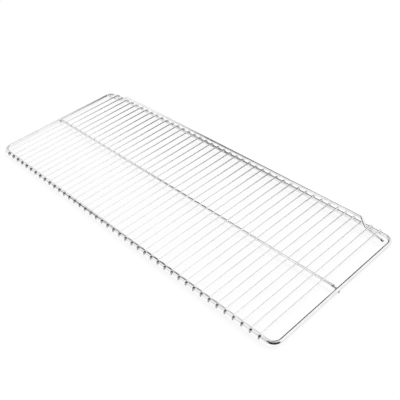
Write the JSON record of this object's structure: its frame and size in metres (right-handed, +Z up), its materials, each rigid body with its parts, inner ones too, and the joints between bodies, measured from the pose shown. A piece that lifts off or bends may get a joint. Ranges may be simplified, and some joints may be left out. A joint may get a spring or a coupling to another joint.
{
  "type": "cheesemelter wire rack",
  "caption": "Flat wire rack for a cheesemelter: a plated wire loop carries hooked cross wires over a centre stringer, with a raised wire stop along the back.",
  "frame": {"origin": "centre of the rack's outline, on the surface that it stands on, under the stringer's ends", "axes": "+X to the right along the long side, +Y to the back where the raised stop is, +Z up"},
  "size_m": [0.8464, 0.3276, 0.0244],
  "materials": {
    "bright_plate": "bright nickel and chrome plating over drawn steel wire"
  },
  "bodies": {
    "root": {"frame": "bright_plate", "centre_stringer": "bright_plate", "rear_stop": "bright_plate", "cross_wire_01": "bright_plate", "cross_wire_02": "bright_plate", "cross_wire_03": "bright_plate", "cross_wire_04": "bright_plate", "cross_wire_05": "bright_plate", "cross_wire_06": "bright_plate", "cross_wire_07": "bright_plate", "cross_wire_08": "bright_plate", "cross_wire_09": "bright_plate", "cross_wire_10": "bright_plate", "cross_wire_11": "bright_plate", "cross_wire_12": "bright_plate", "cross_wire_13": "bright_plate", "cross_wire_14": "bright_plate", "cross_wire_15": "bright_plate", "cross_wire_16": "bright_plate", "cross_wire_17": "bright_plate", "cross_wire_18": "bright_plate", "cross_wire_19": "bright_plate", "cross_wire_20": "bright_plate", "cross_wire_21": "bright_plate", "cross_wire_22": "bright_plate", "cross_wire_23": "bright_plate", "cross_wire_24": "bright_plate", "cross_wire_25": "bright_plate", "cross_wire_26": "bright_plate", "cross_wire_27": "bright_plate", "cross_wire_28": "bright_plate", "cross_wire_29": "bright_plate", "cross_wire_30": "bright_plate", "cross_wire_31": "bright_plate", "cross_wire_32": "bright_plate", "cross_wire_33": "bright_plate", "cross_wire_34": "bright_plate", "cross_wire_35": "bright_plate", "cross_wire_36": "bright_plate", "cross_wire_37": "bright_plate", "cross_wire_38": "bright_plate", "cross_wire_39": "bright_plate", "cross_wire_40": "bright_plate", "cross_wire_41": "bright_plate", "cross_wire_42": "bright_plate"}
  },
  "joints": []
}
